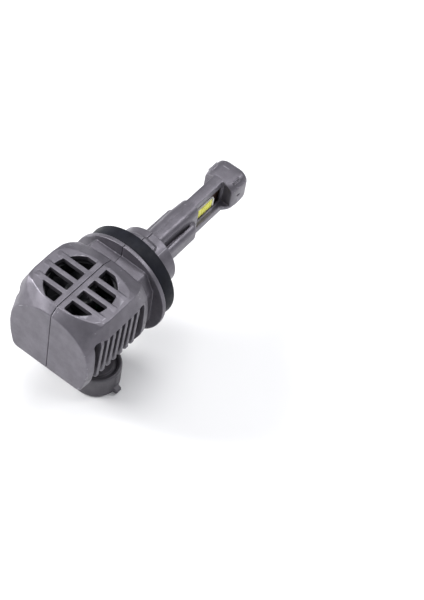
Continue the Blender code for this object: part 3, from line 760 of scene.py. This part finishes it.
def seam_cutter():
    """Opens the seam's gap from head to cylinder; at_seam alone trims the stalk."""
    closed = INNER + 0.3
    rows = [[(x, -20, -20), (x, gap, -20), (x, gap, 20), (x, -20, 20)]
            for x, gap in ((-40, SEAM), (15.0, SEAM), (15.6, closed), (60, closed))]
    return loft(rows)


def finned_head():
    """Right half of the head: cowl, core, fins, fan duct and grille."""
    return carve(
        head_solid(),
        ("-", fin_bay()),
        ("+", box(CORE_X0, HEAD_X1 - 1.0, INNER, CORE_Y, HEAD_BOTTOM + 0.05, DUCT_Z0 + 0.5)),
        ("+", box(BAY_X0 - 0.5, BAY_X1 + 0.5, 8.4, 10.7, HEAD_BOTTOM + 0.4, -7.4)),
        ("+", fins()),
        ("-", stand_up(rod(DUCT_Z0, GRILLE_Z - GRILLE_T, DUCT_R, 96), FAN_X, 0)),
        ("+", raised_bars()),
        ("+", box(-28.4, -9.1, INNER, RIB_HALF, GRILLE_Z - 0.7, GRILLE_Z + RIB_LIFT)),
        ("-", grille_slots()),
    )


def board_outline():
    """Outline of the slot for the LED board, which widens in the outer stalk."""
    lower = [(BOARD_X0 - GAP, -3.9), (31.4, -3.9), (31.4, -4.7), (BOARD_X1 + GAP, -4.7)]
    return lower + [(x, -z) for x, z in reversed(lower)]


def drilled_stalk(pad):
    """Stalk with its tip details, LED recess and board slot, ready to be joined."""
    mesh = carve(
        stalk_solid(pad),
        *tip_details(),
        *[("-", bm) for bm in window()],
        ("-", prism(board_outline(), "Y", -2.0, BOARD_T + GAP)),
    )
    bm = bmesh.new()
    bm.from_mesh(mesh)
    bpy.data.meshes.remove(mesh)
    return bm


def shells():
    """The right shell has the screw holes; the left one a slightly higher neck."""
    head = finned_head()
    for side, name, pad in ((1, "right", 0.0), (-1, "left", 0.38)):
        driver_space = box(-20.4, -5.5, -2.0, 5.2, -12.0, DUCT_Z0 + 3)
        steps = [("+", drilled_stalk(pad)), ("-", driver_space)]
        if side > 0:
            for z in (SCREW_Z, -SCREW_Z):
                steps.append(("-", lay_across(rod(7.2, 16.0, SCREW_HEAD_R), SCREW_X, z)))
                steps.append(("-", lay_across(rod(-2.0, 9.2, SCREW_R), SCREW_X, z)))
        steps.append(("-", seam_cutter()))
        whole = cast(carve(head.copy(), *steps), SHELL_FACES, seam=True)
        if side < 0:
            whole = mirrored(whole)
        shell = piece("body_" + name, whole, "die_cast", ["housing_" + name])
        if side < 0:
            shell.data.shade_smooth()


# ---- collar ring, LEDs ------------------------------------------------------------
def seal_ring():
    profile = [(0.9, 9.85), (0.9, 14.7), (1.0, 14.95), (1.2, 15.07), (3.2, 15.2), (5.25, 15.33),
               (5.48, 15.27), (5.62, 15.1), (5.65, 14.85), (5.65, 10.3), (5.5, 9.85)]
    piece("collar_seal", turned(profile, 160), "rubber", ["seal_ring"], angle=30)


def led_carrier(y):
    """White plate under the LEDs, with a small block at each end."""
    plate = prism(rounded(4.75, LED_HALF + 0.2, 0.25, 5), "Y", 0, 0.4)
    parts = [moved(plate, Matrix.Translation((37.25, y, 0)))]
    for x in (32.85, 41.45):
        block = prism(rounded(0.28, 1.5, 0.12, 4), "Y", 0.36, 0.8)
        parts.append(moved(block, Matrix.Translation((x, y, 0))))
    return join(parts)


def led_strip(y):
    """Row of low domes of phosphor in one strip."""
    edge = 0.24
    dome = ((0.0, edge), (0.10, 0.36), (0.28, 0.44), (0.72, 0.44), (0.90, 0.36))
    pitch = (LED_X1 - LED_X0) / LED_COUNT
    rows = [(LED_X0 + (i + t) * pitch, h) for i in range(LED_COUNT) for t, h in dome]
    rows.append((LED_X1, edge))
    low = y + 0.42
    lens = []
    for x, h in rows:
        w = LED_HALF if LED_X0 < x < LED_X1 else LED_HALF - 0.08
        lens.append([(x, low, -w), (x, low + h * 0.7, -w + 0.05), (x, low + h, -w + 0.25),
                     (x, low + h * 1.04, 0),
                     (x, low + h, w - 0.25), (x, low + h * 0.7, w - 0.05), (x, low, w)])
    return loft(lens)


def led_rows():
    y = BOARD_T + 0.06
    for side, label in ((1, "right"), (-1, "left")):
        carrier = led_carrier(y)
        strip = led_strip(y)
        if side < 0:
            flipped(carrier)
            flipped(strip)
        piece("led_plate_" + label, carrier, "white_carrier", ["led_carrier_" + label], angle=30)
        piece("led_row_" + label, strip, "phosphor", ["led_strip_" + label], angle=50)


# ---- fan ------------------------------------------------------------------------------
def vane(index):
    """One twisted fan blade, which starts inside the hub's wall."""
    base = 2 * math.pi * index / BLADES
    rows = []
    for k in range(7):
        f = k / 6
        r = VANE_R0 + VANE_SPAN * f
        spread = 0.40 - 0.11 * f
        sweep = 0.10 * f * f
        upper, lower = [], []
        for j in range(11):
            t = j / 10
            ang = base + sweep + spread * (2 * t - 1)
            z = VANE_TOP - VANE_DROP * t - 0.55 * math.sin(math.pi * t)
            thick = 0.14 + 0.18 * math.sin(math.pi * min(t * 1.1, 1))
            upper.append((r * math.cos(ang), r * math.sin(ang), z + thick))
            lower.append((r * math.cos(ang), r * math.sin(ang), z - thick))
        rows.append(upper + lower[::-1])
    return loft(rows)


def fan():
    hub = [(13.3, 0), (13.3, 3.75), (13.22, 4.05), (13.0, 4.35), (12.6, 4.55), (10.0, 4.75),
           (6.9, 4.9), (6.7, 4.85), (6.7, 4.35), (12.3, 4.35), (12.3, 1.3), (10.4, 1.3),
           (10.4, 0.65), (12.5, 0.65), (12.5, 0)]
    vanes = [vane(index) for index in range(BLADES)]
    dish = stand_up(turned([(13.0, 0), (13.0, 2.9), (13.1, 3.05), (14.0, 3.05), (14.0, 0)], 64), 0, 0)
    rotor = carve(stand_up(turned(hub, 72), 0, 0), ("+", join(vanes)), ("-", dish))
    rotor = cast(rotor, ROTOR_FACES, FINE_VOXEL, 2)
    rotor.transform(Matrix.Translation((FAN_X, 0, 0)))
    piece("impeller", rotor, "black_plastic", ["fan_rotor"], body="fan")


# ---- plug ---------------------------------------------------------------------------------
def plug():
    """Oval shroud with its rim, socket, inner slots, side wedges and ribs."""
    w, s = PLUG_R, PLUG_S
    rows = [
        (PLUG_FLOOR, w - PLUG_WALL, s), (PLUG_MOUTH + 0.3, w - PLUG_WALL, s),
        (PLUG_MOUTH, w - PLUG_WALL + 0.25, s), (PLUG_MOUTH, w - 0.2, s),
        (PLUG_MOUTH + 0.2, w, s), (PLUG_TOP - 0.75, w, s), (PLUG_TOP - 0.35, w - 0.1, s),
        (PLUG_TOP - 0.08, w - 0.35, s), (PLUG_TOP, w - 0.65, s), (PLUG_TOP - 0.05, w - 0.95, s),
        (PLUG_TOP - 0.3, w - 1.2, s), (PLUG_TOP - 1.0, w - 1.35, s), (PLUG_TOP - 1.05, 5.0, s),
        (PLUG_TOP - 0.55, 4.85, s), (PLUG_TOP - 0.5, 4.6, s), (PLUG_TOP - 0.5, 4.0, 4.2),
        (-17.2, 3.8, 3.7), (-15.0, 3.8, 3.6), (-11.1, 3.8, 3.6), (-11.1, 2.3, 2.6), (-8.6, 2.3, 2.6),
    ]
    shell = loft([[(x, y, z) for x, y in obround(PLUG_X, half, r)] for z, r, half in rows])
    wedge = [(12.3, -25.9), (14.15, -25.9), (14.4, -25.5), (14.2, -24.6), (12.3, -23.4)]
    rib = [(11.6, -25.9), (13.05, -25.9), (13.05, -19.6), (11.6, -19.2)]
    steps = []
    for side in (1, -1):
        for outline, half in ((wedge, 1.05), (rib, 0.5)):
            flat = [(side * y, z) for y, z in outline]
            steps.append(("+", prism(flat, "X", PLUG_X - half, PLUG_X + half)))
        middle = side * 2.4
        slot = box(PLUG_X - 0.55, PLUG_X + 0.55, middle - 1.35, middle + 1.35, -24.0, -7.0)
        steps.append(("-", slot))
    body = cast(carve(shell, *steps), PLUG_FACES, FINE_VOXEL, 2)
    piece("plug_body", body, "plug_shell", ["connector_shroud"])


# ---- stage, light and camera -----------------------------------------------------------------
def stage():
    z = cad_box[0][2] - FLOOR_GAP
    h = FLOOR_HALF
    floor_mesh = bpy.data.meshes.new("floor")
    floor_mesh.from_pydata([(-h, -h, z), (h, -h, z), (h, h, z), (-h, h, z)], [], [(0, 1, 2, 3)])
    paint = Surface("floor_paint", 0.9, specular=0.1)
    paint.colour((0.90, 0.90, 0.905), (0.92, 0.92, 0.925), 60.0)
    floor_mesh.materials.append(paint.mat)
    floor = bpy.data.objects.new("floor", floor_mesh)
    bpy.context.scene.collection.objects.link(floor)
    world = bpy.data.worlds.new("studio")
    world.use_nodes = True
    background = world.node_tree.nodes["Background"]
    background.inputs["Color"].default_value = (0.95, 0.96, 1.0, 1)
    background.inputs["Strength"].default_value = 0.50
    bpy.context.scene.world = world
    bpy.context.scene.view_settings.view_transform = "Standard"


def lamp(name, direction, distance, size, power):
    """A square soft box that looks at the bulb's origin."""
    light = bpy.data.lights.new(name, "AREA")
    light.shape = "SQUARE"
    light.size = size
    light.energy = power
    ob = bpy.data.objects.new(name, light)
    ob.location = Vector(direction).normalized() * distance
    ob.rotation_euler = (-ob.location).to_track_quat("-Z", "Y").to_euler()
    bpy.context.scene.collection.objects.link(ob)


def camera():
    data = bpy.data.cameras.new("camera")
    data.sensor_fit = "HORIZONTAL"
    data.sensor_width = 36.0
    data.lens = LENS
    data.clip_start = 0.01
    right = Vector(VIEW_RIGHT).normalized()
    back = Vector(VIEW_BACK).normalized()
    up = back.cross(right).normalized()
    right = up.cross(back)
    turn = Matrix((right, up, back)).transposed().to_4x4()
    ob = bpy.data.objects.new("camera", data)
    ob.matrix_world = Matrix.Translation(VIEW_FROM) @ turn
    bpy.context.scene.collection.objects.link(ob)
    bpy.context.scene.camera = ob


LOOK = make_materials()
SLOTS = {row["node"]: row["material_slot"] for row in frame["record"]["subparts"]}
for node_name, node in frame["nodes"].items():
    node.data.materials.clear()
    node.data.materials.append(LOOK[SLOTS[node_name]])
camera()
stage()
lamp("key", (-0.44, 0.80, 0.58), 0.7, 0.24, 5.0)
lamp("top", (0.18, 0.16, 1.0), 0.8, 0.5, 3.4)
lamp("rim", (0.55, -0.40, 0.70), 0.8, 0.22, 1.7)
shells()
seal_ring()
led_rows()
fan()
plug()
